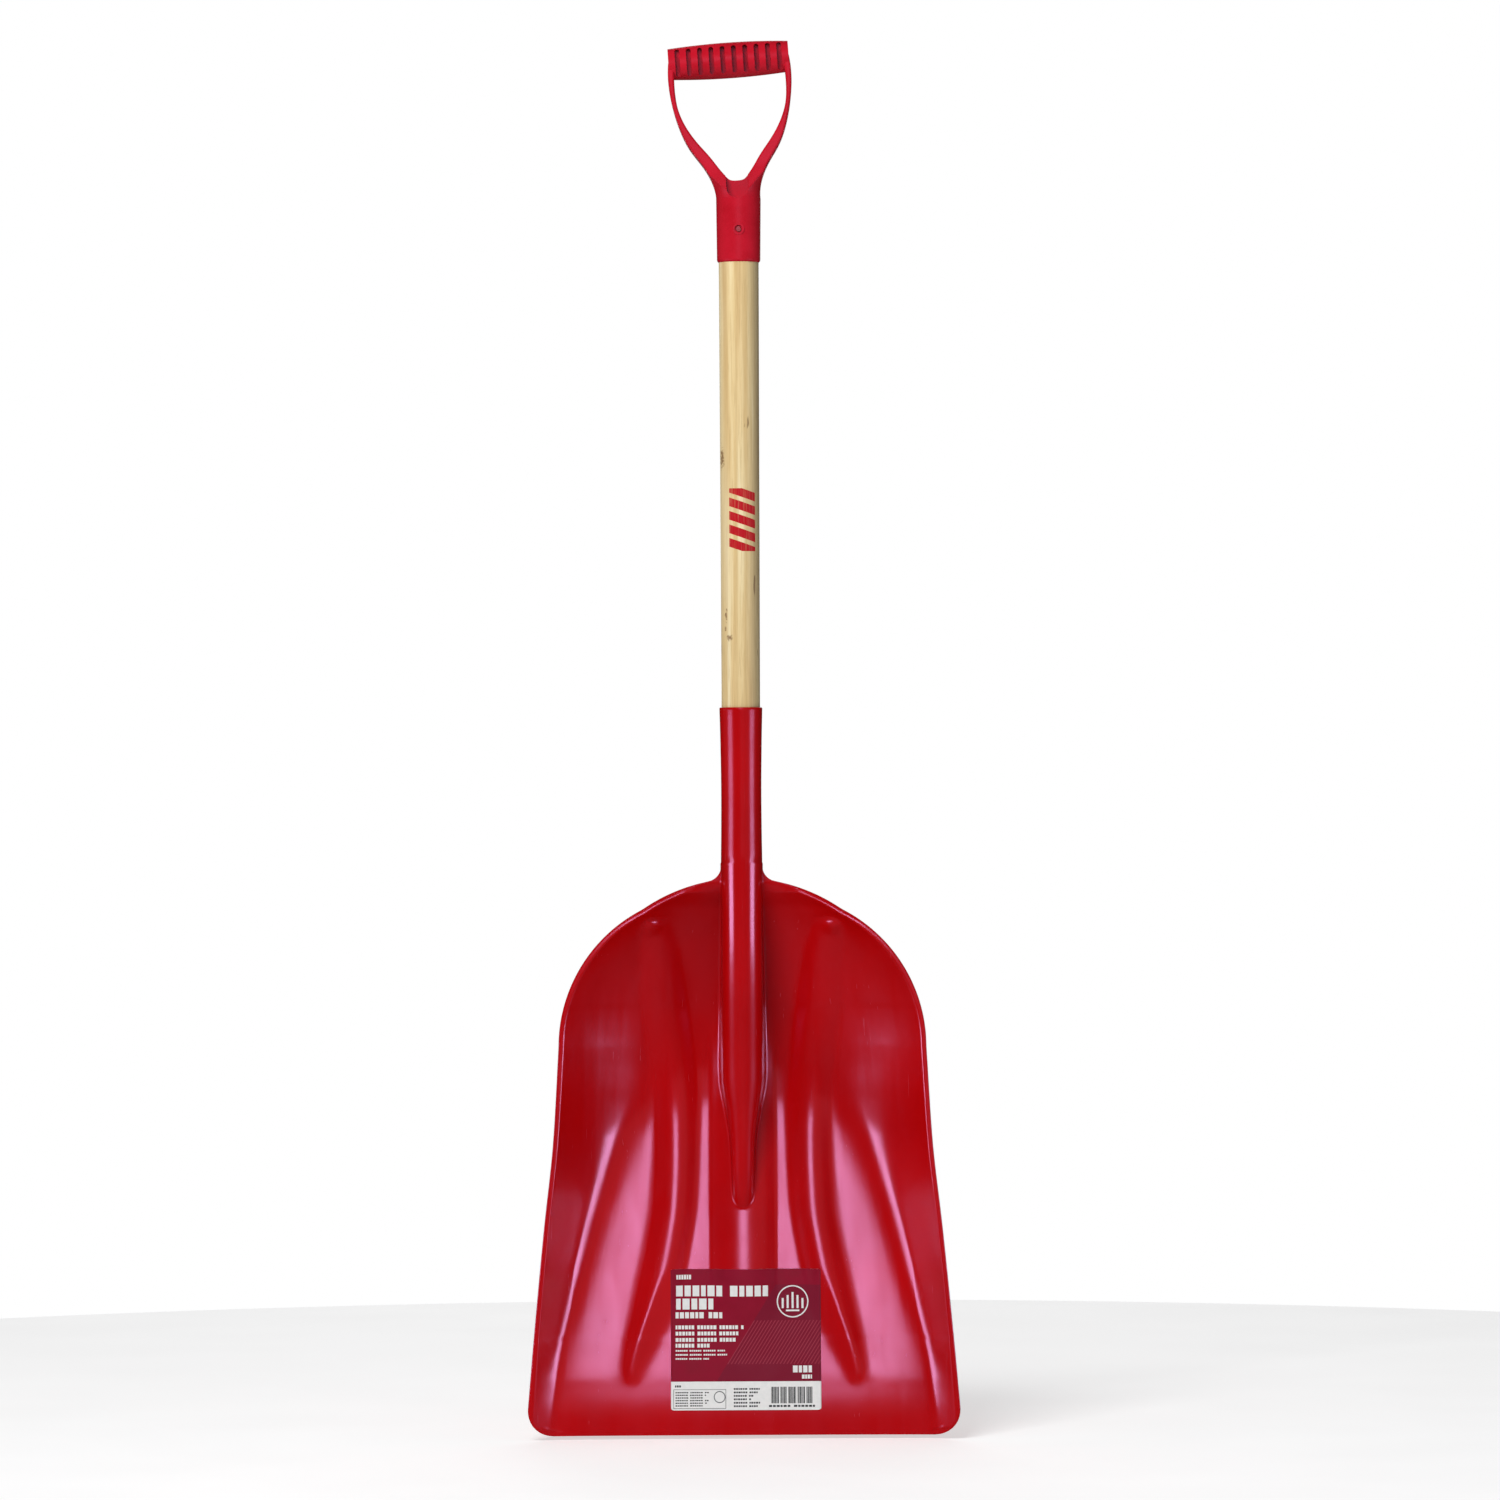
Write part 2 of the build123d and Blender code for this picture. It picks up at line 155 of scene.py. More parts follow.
def half_width(h, inset=0.0):
    """Half width of the pan's outline at a height, or of a line inset from it."""
    if h < shoulder_h:
        side = smooth(side_widths, h) - inset
        below = lip_corner_radius - h
        if below > 0:
            corner = sqrt(max((lip_corner_radius - inset) ** 2 - below ** 2, 0))
            side = smooth(side_widths, h) - lip_corner_radius + corner
        return side
    shoulder = shoulder_x + sqrt(max((shoulder_radius - inset) ** 2 - (h - shoulder_h) ** 2, 0))
    crown = sqrt(max((crown_radius - inset) ** 2 - (h - crown_h) ** 2, 0))
    fillet_x = neck_radius + neck_fillet
    fillet_h = crown_h + sqrt((crown_radius + neck_fillet) ** 2 - fillet_x ** 2)
    below = fillet_h - h
    neck = neck_radius
    if below < neck_fillet:
        neck = fillet_x - sqrt(neck_fillet ** 2 - max(below, 0) ** 2)
    on_shoulder = shoulder if h < crown_h + crown_radius * 0.825 else 0
    return max(on_shoulder, crown, neck - inset)


def pan_depth(x, h):
    """Depth of the pan's front face, with ribs and flange, at distances x from the middle."""
    floor_y = smooth(floor_line, h)
    rim_y = smooth(rim_line, h)
    rise = max(floor_y - rim_y, 0)
    rim_x = max(half_width(h, flange_width), 50)
    if h < lip_corner_radius:
        rim_x = smooth(side_widths, h) - flange_width
    share = (x / rim_x) ** 2
    foot = smooth(wall_foot, h) ** 2
    rounding = smooth(wall_rounding, h)
    base = hypot(foot, rounding) - foot
    wall = share - foot + np.hypot(share - foot, rounding) - base
    full = 1 - foot + hypot(1 - foot, rounding) - base
    crown = min(floor_crown, rise / 3)
    wall_rise = (rise - crown) * wall / full + crown * share ** 2
    outside = smooth(rib_outer_foot, h) - x
    inside = x - smooth(rib_inner_foot, h)
    rib = rib_flank_slope * soft_min(outside, inside, rib_crest_blend)
    facet = smooth(rib_facet, h) + rib_facet_tilt * (inside - outside) / 2
    rib = soft_min(rib, facet, 1.0)
    rib = soft_min(rib, rib_low_slope * (h - rib_low_h), 3)
    rib = soft_min(rib, rib_top_slope * (rib_top_h - h), 4)
    rib = soft_max(rib, 0, 1.6)
    from_bump = np.hypot(x - rib_bump_x, h - rib_bump_h) / rib_bump_radius
    rib = rib + rib_bump_height * np.maximum(1 - from_bump ** 2, 0) ** 1.5
    ridge = smooth(low_ridge_height, h) * (1 - (x / low_ridge_half_width) ** 2)
    ridge = soft_max(ridge, 0, 1.2)
    return soft_max(floor_y - wall_rise - rib - ridge, rim_y, 1.2)


def resample(x, y, weight, cells):
    """Points along a fine line, closer together where its weight is high."""
    step = np.hypot(np.diff(x), np.diff(y))
    middle = (weight[1:] + weight[:-1]) / 2
    along = np.concatenate([[0], np.cumsum(step * middle)])
    wanted = np.linspace(0, along[-1], cells + 1)
    return np.interp(wanted, along, x), np.interp(wanted, along, y)


def even(x, y, spacing):
    """The same line with evenly spaced points."""
    length = np.sum(np.hypot(np.diff(x), np.diff(y)))
    return resample(x, y, np.ones(len(x)), max(int(length / spacing), 40))


def rounded(x, y, sigma, settle):
    """A line from the middle outwards with its corners rounded, unchanged over its last part."""
    x, y = even(x, y, fine_step)
    reach = int(4 * sigma / fine_step)
    kernel = np.exp(-0.5 * (np.arange(-reach, reach + 1) * fine_step / sigma) ** 2)
    kernel /= kernel.sum()
    reach = min(reach, len(x) - 1)
    wide = len(kernel) // 2
    pad = wide - reach
    left_x = np.concatenate([np.full(pad, -x[reach]), -x[reach:0:-1]])
    left_y = np.concatenate([np.full(pad, y[reach]), y[reach:0:-1]])
    right = np.arange(1, wide + 1)
    right_x = x[-1] + right * (x[-1] - x[-2])
    right_y = y[-1] + right * (y[-1] - y[-2])
    soft_x = np.convolve(np.concatenate([left_x, x, right_x]), kernel, "valid")
    soft_y = np.convolve(np.concatenate([left_y, y, right_y]), kernel, "valid")
    settling = settle / fine_step
    raw = ease((np.arange(len(x)) - (len(x) - 1 - settling)) / settling)
    return soft_x + (x - soft_x) * raw, soft_y + (y - soft_y) * raw


def tube_radius(h):
    """Outer radius of the socket's tube."""
    return smooth(socket_radius, h)


def ridge_shape(h):
    """Half width, crest depth and foot half width of the middle ridge or the socket."""
    if h >= neck_top_h:
        radius = tube_radius(h)
        return radius, -radius, radius
    return smooth(ridge_half, h), smooth(ridge_crest, h), smooth(ridge_spread, h)


# ---- blade: one ring of points at each height ----------------------------------------------

fine_step = 0.25            # spacing of the fine lines that the rings are sampled from
corner_spread = 1.2         # how far the tall ridge's corners are rounded, in front
hollow_spread = 0.9         # and behind
ridge_blend = 1.0           # fillet between the tall ridge and the pan
hollow_back_y = 90.0        # the hollow's walls are drawn back to here, past the pan
neck_edge_y = 2.5           # where the pan's rim runs out on the tube
bore_rim_h = 645.7
merge_distance = 0.004 * MM
middle_cells = 34
back_cells = 30
rib_cells = 10
wall_cells = 18


def front_middle(h, end_x):
    """Front face from the middle line out to end_x, over the tall ridge."""
    floor_x = np.linspace(0, end_x, 500)
    corner = 0.0
    if h > ridge_foot_h - 2:
        half, crest, foot = ridge_shape(h)
        turn = np.linspace(0, pi / 2, 60)
        rise = np.linspace(crest + half, ridge_back_y, 200)
        flank = half + (foot - half) * (rise - crest - half) / (ridge_back_y - crest - half)
        ridge_x = np.concatenate([half * np.sin(turn), flank[1:]])
        ridge_y = np.concatenate([crest + half * (1 - np.cos(turn)), rise[1:]])
        x = np.unique(np.concatenate([ridge_x[ridge_x < end_x], floor_x]))
        over = np.interp(x, ridge_x, ridge_y, right=1000)
        pan = pan_depth(x, h)
        y = soft_min(over, pan, ridge_blend)
        behind = np.nonzero(over > pan)[0]
        corner = x[behind[0]] if len(behind) else end_x
        raw_x, raw_y = even(x, y, fine_step)
        settle = max(min(8, 0.6 * (end_x - corner)), 0.5)
        soft_x, soft_y = rounded(x, y, corner_spread, settle)
        mix = ease((h - ridge_foot_h + 2) / 6)
        x = raw_x + (soft_x - raw_x) * mix
        y = raw_y + (soft_y - raw_y) * mix
    else:
        x, y = even(floor_x, pan_depth(floor_x, h), fine_step)
    step = np.hypot(np.diff(x), np.diff(y))
    along = np.concatenate([[0], np.cumsum(step)])
    turn_at = along[np.searchsorted(x, min(corner, x[-1] - 0.01))]
    weight = 1 + 2.2 * np.exp(-((along - turn_at) / 5) ** 2) + 1.2 * np.exp(-((x - 30) / 6) ** 2)
    return resample(x, y, weight, middle_cells)


def back_middle(h, end_x):
    """Back face from the middle line out to end_x, with the hollow behind the ridge."""
    half, crest, foot = ridge_shape(h)
    inner = half - ridge_wall
    tip = crest + ridge_wall
    pan_x = np.linspace(0, end_x, 500)
    pan_y = pan_depth(pan_x, h) + pan_wall
    turn = np.linspace(0, pi / 2, 50)
    rise = np.linspace(tip + inner, hollow_back_y, 300)
    share = (rise - tip - inner) / (hollow_back_y - tip - inner)
    wall = inner + (foot - ridge_wall - inner) * share
    hollow_x = np.concatenate([inner * np.sin(turn), wall[1:]])
    hollow_y = np.concatenate([tip + inner * (1 - np.cos(turn)), rise[1:]])
    if h >= socket_end_h:
        radius = tube_radius(h)
        tube_y = np.sqrt(np.maximum(radius ** 2 - hollow_x ** 2, 0))
        hollow_y = np.maximum(hollow_y, tube_y)
        inside = pan_x < radius
        tube_pan = np.sqrt(np.maximum(radius ** 2 - pan_x ** 2, 0))
        pan_y = np.where(inside, np.maximum(pan_y, tube_pan), pan_y)
    here = np.interp(hollow_x, pan_x, pan_y)
    keep = hollow_y < here
    edge = hollow_x[keep][-1] if keep.any() else 0.0
    beyond = pan_x > edge + 0.02
    x = np.concatenate([hollow_x[keep], pan_x[beyond]])
    y = np.concatenate([hollow_y[keep], pan_y[beyond]])
    x, y = rounded(x, y, hollow_spread, 1.5)
    weight = 1 + 1.5 * np.exp(-((x - max(edge, 5)) / 3) ** 2)
    return resample(x, y, weight, back_cells)


def knots(h):
    """Distances from the middle of the rib, the wall's foot and the flange, in order."""
    base = ridge_shape(h)[0] + 0.3 if h > ridge_foot_h else 0.0
    edge = max(half_width(h), base + 0.2)
    rib_in = smooth(rib_inner_foot, h)
    rib_out = smooth(rib_outer_foot, h)
    rib_middle = (rib_in + rib_out) / 2
    rib_in = min(rib_in, rib_middle - 2)
    rib_out = max(rib_out, rib_middle + 2)
    foot = max(smooth(wall_foot, h) * edge, rib_out + 5)
    rim = max(half_width(h, flange_width), base + 0.8 * (edge - base))
    limits = zip((rib_in, rib_middle, rib_out, foot), (0.3, 0.5, 0.7, 0.85))
    inner = [min(place, base + share * (rim - base)) for place, share in limits]
    return [*inner, rim, edge]


def pan_columns(h):
    """Distances from the middle of the front face's points, from the rib to the edge."""
    rib_in, rib_middle, rib_out, foot, rim, edge = knots(h)
    even_steps = np.linspace(0, 1, rib_cells + 1)
    closer = even_steps - 0.6 * np.sin(2 * pi * even_steps) / (2 * pi)
    wall_steps = np.linspace(0, 1, wall_cells + 1)
    near_rim = 1 - (1 - wall_steps) ** 1.35
    scale = min((edge - rim) / flange_width, 1)
    start = rim - 1.6 * scale
    parts = [
        rib_in + (rib_middle - rib_in) * closer,
        rib_middle + (rib_out - rib_middle) * closer[1:],
        rib_out + (foot - rib_out) * np.linspace(0, 1, 9)[1:],
        foot + (start - foot) * near_rim[1:],
        rim + scale * np.array([-0.8, -0.2, 0.4, 1.2, flange_width / 2]),
        [edge - edge_rounding * scale],
    ]
    return np.concatenate(parts), scale


def half_ring(h):
    """Points (x, y) of the blade's outline at a height, from the front round the rim to the back."""
    columns, scale = pan_columns(h)
    if h >= neck_top_h:
        radius = tube_radius(h)
        front_turn = pi / 2 + asin(neck_edge_y / radius)
        back_turn = pi / 2 + asin((neck_edge_y + pan_wall) / radius)
        turns = np.concatenate([
            np.linspace(0, front_turn, middle_cells + 1),
            np.full(len(columns) - 1, front_turn),
            np.linspace(front_turn, back_turn, 5)[1:4],
            np.full(len(columns), back_turn),
            np.linspace(back_turn, pi, back_cells + 1)[1:],
        ])
        return radius * np.sin(turns), -radius * np.cos(turns)
    front_x, front_y = front_middle(h, columns[0])
    pan_y = pan_depth(columns, h)
    thin = 0.9 * ease(1 - h / 1.6)
    edge_x = columns[-1] + scale * edge_rounding * np.array([0.72, 1, 0.72])
    deep = pan_wall / 2
    edge_y = pan_y[-1] + deep + np.array([-deep + 0.25, 0, deep - 0.25])
    if h < hollow_foot_h:
        back_x = np.interp(np.linspace(0, 1, back_cells + 1), np.linspace(0, 1, 35), front_x)
        back_y = pan_depth(back_x, h) + pan_wall
    else:
        back_x, back_y = back_middle(h, columns[0])
    x = np.concatenate([front_x, columns[1:], edge_x, columns[::-1], back_x[-2::-1]])
    y = np.concatenate([
        front_y + thin, pan_y[1:] + thin, edge_y,
        pan_y[::-1] + pan_wall - thin, back_y[-2::-1] - thin,
    ])
    return x, y


def blade_heights():
    """Heights of the blade's rings, closer together where the shape turns."""
    heights = [0, 0.5, 1.2, 2.2, 4, 6.5, 9.5, 13, 16.5, 20, 23]
    heights += list(np.arange(25.6, 185, 2.66))
    heights += list(np.arange(186, 222, 1.5))
    heights += list(np.arange(223.5, 424, 2.66))
    heights += [hollow_foot_h - 0.01, hollow_foot_h, socket_end_h - 0.01, socket_end_h]
    heights += list(np.arange(426, 456, 2.2))
    h = 457.5
    while h < 489.5:
        heights.append(h)
        radius = sqrt(max(crown_radius ** 2 - (h - crown_h) ** 2, 1))
        h += max(3.2 * radius / crown_radius, 0.75)
    heights += list(np.arange(490, neck_top_h, 1.5)) + [neck_top_h]
    heights += list(np.arange(514, 604, 6)) + list(np.arange(605.5, 619, 1.25))
    heights += [624, 630, 636, 641, 643.5, 645]
    return sorted(set(round(float(h), 3) for h in heights))


def full_ring(x, y, h):
    """A half outline with its mirror image, as (x, y, h) points round the blade."""
    right = [(a, b, h) for a, b in zip(x, y)]
    left = [(-a, b, h) for a, b in zip(x[-2:0:-1], y[-2:0:-1])]
    return right + left


def to_metres(points):
    """Points (x, y, h) in millimetres as places in the frame."""
    return [(x * MM, y * MM, (h - hang_height) * MM) for x, y, h in points]


def new_object(name, vertices, faces):
    """A smooth-shaded mesh object in the scene."""
    mesh = bpy.data.meshes.new(name)
    mesh.from_pydata(vertices, [], faces)
    mesh.validate()
    mesh.polygons.foreach_set("use_smooth", [True] * len(mesh.polygons))
    piece = bpy.data.objects.new(name, mesh)
    bpy.context.scene.collection.objects.link(piece)
    return piece


def merge_close(piece, distance):
    """Joins points that lie together and drops the faces that vanish."""
    work = bmesh.new()
    work.from_mesh(piece.data)
    bmesh.ops.remove_doubles(work, verts=work.verts, dist=distance)
    bmesh.ops.dissolve_degenerate(work, edges=work.edges, dist=distance)
    bmesh.ops.recalc_face_normals(work, faces=work.faces)
    work.to_mesh(piece.data)
    work.free()


def make_blade():
    """The whole moulding: pan, ribs, middle ridge, socket and its bore, as one closed surface."""
    rings = []
    for h in blade_heights():
        x, y = half_ring(h)
        if abs(h - screw_h) < screw_seat_radius:
            y = np.where(np.abs(x) < screw_seat_radius, np.minimum(y, screw_seat_y), y)
        rings.append(full_ring(x, y, h))
    x, y = half_ring(socket_mouth_h)
    outer = tube_radius(socket_mouth_h)
    unit_x, unit_y = x / outer, y / outer
    turns = [(outer - 0.15, 645.6), (outer - 0.6, 645.95), (outer - 1.1, socket_mouth_h),
             (bore_mouth_radius + 0.25, socket_mouth_h), (bore_mouth_radius, bore_rim_h)]
    for place in range(1, 9):
        share = place / 8
        radius = bore_mouth_radius + (bore_end_radius - bore_mouth_radius) * share
        turns.append((radius, bore_rim_h + (bore_end_h - bore_rim_h) * share))
    for radius, h in turns:
        rings.append(full_ring(unit_x * radius, unit_y * radius, h))
    count = len(rings[0])
    points = [point for ring in rings for point in ring]
    faces = []
    for row in range(len(rings) - 1):
        low = row * count
        high = low + count
        for k in range(count):
            after = (k + 1) % count
            faces.append((low + k, low + after, high + after, high + k))
    points.append((0, 0, bore_end_h - 5))
    last = (len(rings) - 1) * count
    faces += [(last + k, last + (k + 1) % count, len(points) - 1) for k in range(count)]
    front_count = middle_cells + len(pan_columns(0)[0])
    faces += lip_faces(rings[0], count, front_count)
    blade = new_object("scoop_blade_shell", to_metres(points), faces)
    merge_close(blade, merge_distance)
    return blade


def lip_faces(ring, count, front_count):
    """Closes the lip: front points pair with back points by their distance from the middle."""
    half = count // 2
    faces = []
    for side in (1, -1):
        front = [(side * k) % count for k in range(front_count)]
        back = [(half - side * k) % count for k in range(half - front_count + 1)]
        i = j = 0
        while i < len(front) - 1 or j < len(back) - 1:
            front_next = abs(ring[front[i + 1]][0]) if i < len(front) - 1 else 1e9
            back_next = abs(ring[back[j + 1]][0]) if j < len(back) - 1 else 1e9
            if abs(front_next - back_next) < 1e-6:
                corner = (front[i], front[i + 1], back[j + 1], back[j])
                i, j = i + 1, j + 1
            elif front_next < back_next:
                corner = (front[i], front[i + 1], back[j])
                i += 1
            else:
                corner = (front[i], back[j + 1], back[j])
                j += 1
            faces.append(corner if side < 0 else corner[::-1])
    return faces


# ---- label: a thin slab on the pan's floor, printed in blocks --------------------------------

label_low_h = 22.0
label_high_h = 145.0
label_width = 133.5
label_centre_x = 1.8
label_back = 0.12           # in front of the pan
label_front = 0.45
label_corner = 2.5
white_strip_top = 98.0      # down from the label's top
strip_box = (2.2, 48.9, 104.8, 121.6)
badge_u = 108.5
badge_v = 28.6
badge_ring = (13.0, 14.1)
badge_bar_pitch = 4.4
badge_bar_half = 0.9
block_shares = [0.8, 0.55, 0.85, 0.7, 0.9, 0.6, 0.8, 0.75]
bar_shares = [0.35, 0.7, 0.45, 0.3, 0.8, 0.5, 0.65, 0.4, 0.75, 0.3, 0.6]


def blocks(left, right, top, low, pitch, ink, shares=block_shares):
    """A row of small blocks in place of words, as (left, right, top, low, ink)."""
    row = []
    place = left
    while place + 0.4 * pitch < right:
        share = shares[(len(row) + int(top)) % len(shares)]
        end = min(place + share * pitch, right)
        row.append((place, end, top, low, ink))
        gap = 0.95 if len(row) % 6 == 0 else 0.22
        place = end + gap * pitch
    return row


def label_marks():
    """Everything printed in white or grey, measured from the label's top left corner."""
    marks = blocks(5, 21, 5, 9, 2.4, 1)
    marks += blocks(4.7, 86.6, 14.4, 23.8, 7.4, 1)
    for k in range(-2, 3):
        middle = badge_u + k * badge_bar_pitch
        marks.append((middle - badge_bar_half, middle + badge_bar_half, 20.5 + 2.6 * abs(k), 34.5, 1))
    marks += [(badge_u - 6, badge_u + 6, 35.8, 37.2, 1)]
    marks += blocks(4.7, 37.9, 25.8, 35.3, 7.4, 1)
    marks += blocks(4.2, 47.9, 37.7, 43.0, 4.6, 1)
    for top, end in ((49.2, 66), (54.6, 60), (60.1, 59), (65.1, 36)):
        marks += blocks(4.2, end, top, top + 3.3, 3.0, 1)
    for top, end in ((70.5, 48), (74.0, 50), (77.5, 34.5)):
        marks += blocks(4.2, end, top, top + 1.4, 1.9, 1)
    marks += blocks(108.4, 125.3, 84.4, 90.4, 4.7, 1)
    marks += blocks(116.4, 125.3, 92.3, 95.8, 2.6, 1)
    left, right, top, low = strip_box
    marks += [(left, right, top, top + 0.4, 2), (left, right, low - 0.4, low, 2)]
    marks += [(left, left + 0.4, top, low, 2), (right - 0.4, right, top, low, 2)]
    marks += blocks(3.6, 10, 101.2, 103.0, 2.0, 2)
    for number in range(6):
        marks += blocks(4.0, 34 - 2 * (number % 3), 107 + 2.3 * number, 108.1 + 2.3 * number, 2.0, 2)
        marks += blocks(55.8, 80 - 3 * (number % 4), 103.8 + 3 * number, 105.3 + 3 * number, 2.1, 2)
    marks += blocks(89, 126.3, 102.8, 117.2, 1.5, 2, bar_shares)
    marks += blocks(87, 128, 118.6, 120.4, 3.4, 2)
    return marks


def ticks(length, marks, first, second):
    """Grid lines at the edges of the marks, with others between so that no gap is over 2.5 mm."""
    edges = {0.0, length}
    for mark in marks:
        edges |= {round(mark[first], 2), round(mark[second], 2)}
    edges = sorted(edges)
    lines = []
    for low, high in zip(edges, edges[1:]):
        parts = max(int((high - low) / 2.5 + 0.99), 1)
        lines += [low + (high - low) * k / parts for k in range(parts)]
    return lines + [length]


def make_label():
    """The label as a thin closed slab that follows the pan, with an ink number for each face."""
    marks = label_marks()
    height = label_high_h - label_low_h
    across = ticks(label_width, marks, 0, 1)
    down = ticks(height, [*marks, (0, 0, white_strip_top, white_strip_top, 0)], 2, 3)
    down = sorted({*down, *(round(height - label_corner * k / 6, 3) for k in range(7)), 0.3, 1.0})
    points = []
    for depth in (label_front, label_back):
        for v in down:
            from_end = min(height - v, v * 2.5)
            short = max(label_corner - from_end, 0)
            inset = label_corner - sqrt(label_corner ** 2 - short ** 2)
            u = np.clip(np.array(across), inset, label_width - inset)
            x = label_centre_x - label_width / 2 + u
            h = label_high_h - v
            y = pan_depth(np.abs(x), h) - depth
            points += [(a, b, h) for a, b in zip(x, y)]
    wide, tall = len(across), len(down)
    faces, inks = [], []
    for side in (0, 1):
        for j in range(tall - 1):
            middle_v = (down[j] + down[j + 1]) / 2
            row = [mark for mark in marks if mark[2] < middle_v < mark[3]]
            for i in range(wide - 1):
                a = side * wide * tall + j * wide + i
                corner = (a, a + wide, a + wide + 1, a + 1)
                faces.append(corner if side == 0 else corner[::-1])
                middle_u = (across[i] + across[i + 1]) / 2
                ink = 3 if middle_v > white_strip_top or side == 1 else 0
                found = [mark[4] for mark in row if mark[0] < middle_u < mark[1]]
                inks.append(found[0] if found and side == 0 else ink)
    rim = [*range(wide), *((j + 1) * wide - 1 for j in range(1, tall))]
    rim += [(tall - 1) * wide + i for i in range(wide - 2, -1, -1)]
    rim += [j * wide for j in range(tall - 2, 0, -1)]
    for a, b in zip(rim, rim[1:] + rim[:1]):
        faces.append((a, b, b + wide * tall, a + wide * tall))
        inks.append(3)
    label = new_object("printed_label", to_metres(points), faces)
    label.data.polygons.foreach_set("material_index", inks)
    merge_close(label, merge_distance)
    return label


# ---- materials -----------------------------------------------------------------------------

# brown flecks on the front of the shaft, as (x, h, half width, half height)
wood_flecks = [(-15.5, 868, 1.6, 8), (-12.5, 728, 0.9, 5), (-9.5, 708, 2.4, 2.2), (-13.0, 716, 0.8, 3)]
# red ink mark on the shaft
mark_low_h = 785.0
mark_high_h = 841.0
mark_centre_x = 2.0
mark_half_width = 11.5
mark_bars = 5
mark_bar_share = 0.65       # of the pitch
mark_slant = 0.35


class Shader:
    """A material with short calls for adding and joining its nodes."""

    def __init__(self, name):
        self.material = bpy.data.materials.new(name)
        self.material.use_nodes = True
        self.tree = self.material.node_tree
        self.surface = self.tree.nodes["Principled BSDF"]
        self.place = self.add("ShaderNodeTexCoord").outputs["Object"]

    def add(self, kind, **values):
        """A new node with its properties set."""
        node = self.tree.nodes.new(kind)
        for name, value in values.items():
            setattr(node, name, value)
        return node

    def link(self, source, target):
        """Joins an output to an input."""
        self.tree.links.new(source, target)

    def set(self, **values):
        """Constant values on the surface shader's own inputs."""
        for name, value in values.items():
            self.surface.inputs[name.replace("_", " ")].default_value = value

    def stretch(self, scale, offset=(0, 0, 0)):
        """Object coordinates scaled per axis, so that a texture stretches."""
        mapping = self.add("ShaderNodeMapping")
        mapping.inputs["Scale"].default_value = scale
        mapping.inputs["Location"].default_value = offset
        self.link(self.place, mapping.inputs["Vector"])
        return mapping.outputs["Vector"]

    def noise(self, vector, scale, detail=3.0, roughness=0.5, distortion=0.0):
        """Noise between 0 and 1."""
        node = self.add("ShaderNodeTexNoise")
        node.inputs["Scale"].default_value = scale
        node.inputs["Detail"].default_value = detail
        node.inputs["Roughness"].default_value = roughness
        node.inputs["Distortion"].default_value = distortion
        self.link(vector, node.inputs["Vector"])
        return node.outputs["Fac"]

    def ramp(self, source, stops):
        """A colour ramp through (place, colour) stops."""
        node = self.add("ShaderNodeValToRGB")
        elements = node.color_ramp.elements
        while len(elements) < len(stops):
            elements.new(0.5)
        for element, (place, colour) in zip(elements, stops):
            element.position = place
            element.color = (*colour, 1) if len(colour) == 3 else colour
        self.link(source, node.inputs["Fac"])
        return node.outputs["Color"]

    def spread(self, source, low, high, start=0.3, end=0.7):
        """A value between low and high as the source goes from start to end."""
        node = self.add("ShaderNodeMapRange")
        node.inputs["From Min"].default_value = start
        node.inputs["From Max"].default_value = end
        node.inputs["To Min"].default_value = low
        node.inputs["To Max"].default_value = high
        self.link(source, node.inputs["Value"])
        return node.outputs["Result"]

    def maths(self, operation, a, b=None):
        """One arithmetic step on sources or plain numbers."""
        node = self.add("ShaderNodeMath", operation=operation)
        for slot, value in zip(node.inputs, (a, b)):
            if isinstance(value, (int, float)):
                slot.default_value = value
            elif value is not None:
                self.link(value, slot)
        return node.outputs[0]

    def mix(self, share, a, b):
        """Colour a, going over to colour b by a share."""
        node = self.add("ShaderNodeMix", data_type="RGBA")
        for slot, value in ((0, share), (6, a), (7, b)):
            if isinstance(value, (int, float)):
                node.inputs[slot].default_value = value
            elif isinstance(value, tuple):
                node.inputs[slot].default_value = (*value, 1)
            else:
                self.link(value, node.inputs[slot])
        return node.outputs[2]

    def bump(self, height, distance, strength=1.0, after=None):
        """A normal raised by a height, on top of an earlier one if there is one."""
        node = self.add("ShaderNodeBump")
        node.inputs["Distance"].default_value = distance
        node.inputs["Strength"].default_value = strength
        self.link(height, node.inputs["Height"])
        if after is not None:
            self.link(after, node.inputs["Normal"])
        return node.outputs["Normal"]

    def join(self, **sources):
        """Links sources to the surface shader's inputs."""
        for name, source in sources.items():
            self.link(source, self.surface.inputs[name.replace("_", " ")])


